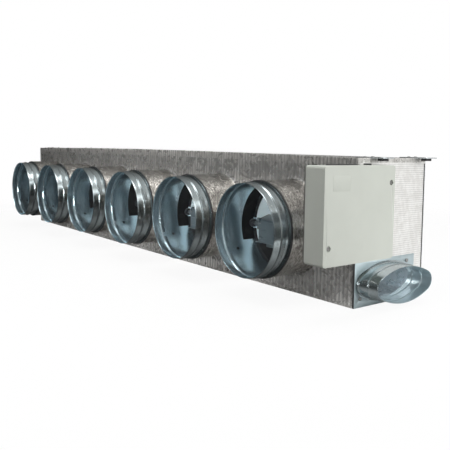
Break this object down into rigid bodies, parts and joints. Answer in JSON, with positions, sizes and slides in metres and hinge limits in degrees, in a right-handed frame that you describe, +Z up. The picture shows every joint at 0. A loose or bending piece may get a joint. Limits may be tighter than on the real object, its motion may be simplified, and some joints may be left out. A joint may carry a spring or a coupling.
{
  "type": "motorised zoning plenum",
  "caption": "Insulated air-distribution plenum with a row of round motorised damper spigots, a control box and an oval fresh-air inlet; open at the rear.",
  "frame": {"origin": "centre of the casing's flat underside", "axes": "+X along the casing to the control-box end, -Y out of the spigots' mouths, +Z up"},
  "size_m": [1.824, 0.37, 0.307],
  "materials": {
    "galvanised_sheet": "zinc-coated sheet with faint spangle, satin",
    "spigot_steel": "bright galvanised, rolled, soft mirror bands",
    "blade_steel": "bright galvanised disc",
    "foil_insulation": "aluminium-foil facing over scrim, fine grid, glossy and slightly crumpled",
    "foil_sleeve": "aluminium-foil wrap, creased",
    "black_rubber": "matt rubber",
    "black_foam": "closed-cell foam",
    "motor_plastic": "fine-textured dark moulding",
    "axle_steel": "bright drawn rod",
    "bush_nylon": "natural nylon",
    "box_abs": "light grey moulding with a fine satin texture",
    "fastener_steel": "dull zinc",
    "circuit_board": "green solder mask",
    "terminal_plastic": "green moulding",
    "loom_sheath": "black cable sheath"
  },
  "bodies": {
    "root": {"front_panel": "galvanised_sheet", "top_panel": "galvanised_sheet", "bottom_panel": "galvanised_sheet", "left_end_panel": "galvanised_sheet", "right_end_panel": "galvanised_sheet", "front_insulation": "foil_insulation", "top_insulation": "foil_insulation", "bottom_insulation": "foil_insulation", "left_end_insulation": "foil_insulation", "right_end_insulation": "foil_insulation", "rear_flange": "galvanised_sheet", "spigot_1": "spigot_steel", "spigot_2": "spigot_steel", "spigot_3": "spigot_steel", "spigot_4": "spigot_steel", "spigot_5": "spigot_steel", "spigot_6": "spigot_steel", "spigot_sleeves": "foil_sleeve", "sleeve_rings": "black_rubber", "spigot_linings": "black_foam", "spigot_rivets": "fastener_steel", "axles": "axle_steel", "axle_bushes": "bush_nylon", "box_base": "box_abs", "box_cover": "box_abs", "cover_screws": "fastener_steel", "circuit_board": "circuit_board", "terminal_blocks": "terminal_plastic", "box_bracket": "galvanised_sheet", "cable_grommets": "black_rubber", "wiring_loom": "loom_sheath", "inlet_plate": "galvanised_sheet", "inlet_collar": "spigot_steel", "plate_screws": "fastener_steel", "suspension_lugs": "galvanised_sheet", "lug_pads": "black_rubber"},
    "damper_1": {"blade_1": "blade_steel", "blade_gasket_1": "black_rubber", "motor_1": "motor_plastic", "blade_fixings_1": "galvanised_sheet"},
    "damper_2": {"blade_2": "blade_steel", "blade_gasket_2": "black_rubber", "motor_2": "motor_plastic", "blade_fixings_2": "galvanised_sheet"},
    "damper_3": {"blade_3": "blade_steel", "blade_gasket_3": "black_rubber", "motor_3": "motor_plastic", "blade_fixings_3": "galvanised_sheet"},
    "damper_4": {"blade_4": "blade_steel", "blade_gasket_4": "black_rubber", "motor_4": "motor_plastic", "blade_fixings_4": "galvanised_sheet"},
    "damper_5": {"blade_5": "blade_steel", "blade_gasket_5": "black_rubber", "motor_5": "motor_plastic", "blade_fixings_5": "galvanised_sheet"},
    "damper_6": {"blade_6": "blade_steel", "blade_gasket_6": "black_rubber", "motor_6": "motor_plastic", "blade_fixings_6": "galvanised_sheet"}
  },
  "joints": [
    {"name": "damper_1_turn", "type": "hinge", "parent": "root", "child": "damper_1", "pos_m": [-0.6875, -0.15, 0.149], "axis": [-1, 0, 0], "range_deg": [0, 90]},
    {"name": "damper_2_turn", "type": "hinge", "parent": "root", "child": "damper_2", "pos_m": [-0.4125, -0.15, 0.149], "axis": [-1, 0, 0], "range_deg": [0, 90]},
    {"name": "damper_3_turn", "type": "hinge", "parent": "root", "child": "damper_3", "pos_m": [-0.1375, -0.15, 0.149], "axis": [-1, 0, 0], "range_deg": [0, 90]},
    {"name": "damper_4_turn", "type": "hinge", "parent": "root", "child": "damper_4", "pos_m": [0.1375, -0.15, 0.149], "axis": [-1, 0, 0], "range_deg": [0, 90]},
    {"name": "damper_5_turn", "type": "hinge", "parent": "root", "child": "damper_5", "pos_m": [0.4125, -0.15, 0.149], "axis": [-1, 0, 0], "range_deg": [0, 90]},
    {"name": "damper_6_turn", "type": "hinge", "parent": "root", "child": "damper_6", "pos_m": [0.6875, -0.15, 0.149], "axis": [-1, 0, 0], "range_deg": [0, 90]}
  ]
}
